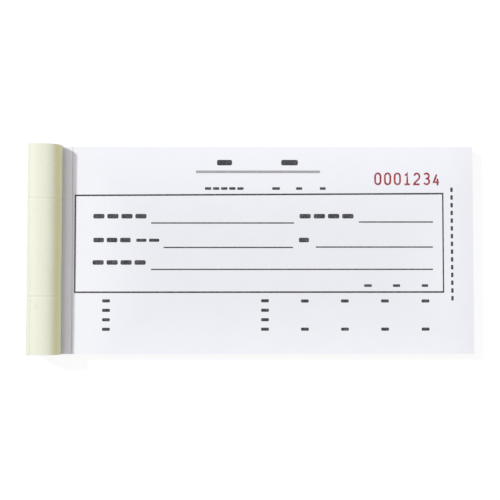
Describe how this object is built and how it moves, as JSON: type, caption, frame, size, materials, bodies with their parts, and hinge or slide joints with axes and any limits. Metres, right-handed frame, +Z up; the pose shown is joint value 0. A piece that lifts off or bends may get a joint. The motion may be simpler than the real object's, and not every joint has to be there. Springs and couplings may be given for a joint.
{
  "type": "receipt book",
  "caption": "Long stapled receipt book of carbonless copy sheets, its pale card cover rolled round to the back, with copies that turn at a tear line.",
  "frame": {"origin": "bottom centre of the box, on the surface that the book lies on", "axes": "+X along the pages from the bound edge to the free edge, +Y across the pages to their top edge, +Z up out of the top sheet"},
  "size_m": [0.1816, 0.085, 0.0162],
  "materials": {
    "white_paper": "smooth uncoated paper",
    "pink_paper": "smooth uncoated paper",
    "yellow_paper": "smooth uncoated paper",
    "cover_card": "smooth pale yellow-green card",
    "back_board": "grey board",
    "spine_tape": "paper tape",
    "staple_wire": "bright galvanised wire"
  },
  "bodies": {
    "pad": {"back_board": "back_board", "front_cover_bound_half": "cover_card", "lower_pink_copies": "pink_paper", "lower_white_copies": "white_paper", "lower_yellow_copies": "yellow_paper", "pink_stubs": "pink_paper", "spine_tape": "spine_tape", "staples": "staple_wire", "white_stubs": "white_paper", "yellow_stubs": "yellow_paper"},
    "cover_strip_01": {"front_cover_strip_01": "cover_card"},
    "cover_strip_02": {"front_cover_strip_02": "cover_card"},
    "cover_strip_03": {"front_cover_strip_03": "cover_card"},
    "cover_panel": {"front_cover_panel": "cover_card"},
    "set_2_yellow_leaf": {"set_2_yellow_copy": "yellow_paper"},
    "set_2_pink_leaf": {"set_2_pink_copy": "pink_paper"},
    "set_2_white_leaf": {"set_2_white_copy": "white_paper"},
    "set_1_yellow_leaf": {"set_1_yellow_copy": "yellow_paper"},
    "set_1_pink_leaf": {"set_1_pink_copy": "pink_paper"},
    "set_1_white_leaf": {"set_1_white_copy": "white_paper"}
  },
  "joints": [
    {"name": "cover_fold_01", "type": "hinge", "parent": "pad", "child": "cover_strip_01", "pos_m": [-0.08861, 0, 0.01612], "axis": [0, -1, 0], "range_deg": [-37.5, 0]},
    {"name": "cover_fold_02", "type": "hinge", "parent": "cover_strip_01", "child": "cover_strip_02", "pos_m": [-0.09045, 0, 0.01443], "axis": [0, -1, 0], "range_deg": [-52.5, 0]},
    {"name": "cover_fold_03", "type": "hinge", "parent": "cover_strip_02", "child": "cover_strip_03", "pos_m": [-0.08935, 0, 0.00188], "axis": [0, -1, 0], "range_deg": [-50, 0]},
    {"name": "cover_fold_04", "type": "hinge", "parent": "cover_strip_03", "child": "cover_panel", "pos_m": [-0.08667, 0, 0], "axis": [0, -1, 0], "range_deg": [-35, 0]},
    {"name": "set_2_yellow_turn", "type": "hinge", "parent": "pad", "child": "set_2_yellow_leaf", "pos_m": [-0.07338, 0, 0.00538], "axis": [0, -1, 0], "range_deg": [0, 7]},
    {"name": "set_2_pink_turn", "type": "hinge", "parent": "set_2_yellow_leaf", "child": "set_2_pink_leaf", "pos_m": [-0.07338, 0, 0.00546], "axis": [0, -1, 0], "range_deg": [0, 8]},
    {"name": "set_2_white_turn", "type": "hinge", "parent": "set_2_pink_leaf", "child": "set_2_white_leaf", "pos_m": [-0.07338, 0, 0.00554], "axis": [0, -1, 0], "range_deg": [0, 12]},
    {"name": "set_1_yellow_turn", "type": "hinge", "parent": "set_2_white_leaf", "child": "set_1_yellow_leaf", "pos_m": [-0.07338, 0, 0.00562], "axis": [0, -1, 0], "range_deg": [0, 17]},
    {"name": "set_1_pink_turn", "type": "hinge", "parent": "set_1_yellow_leaf", "child": "set_1_pink_leaf", "pos_m": [-0.07338, 0, 0.0057], "axis": [0, -1, 0], "range_deg": [0, 26]},
    {"name": "set_1_white_turn", "type": "hinge", "parent": "set_1_pink_leaf", "child": "set_1_white_leaf", "pos_m": [-0.07338, 0, 0.00578], "axis": [0, -1, 0], "range_deg": [0, 42]}
  ]
}
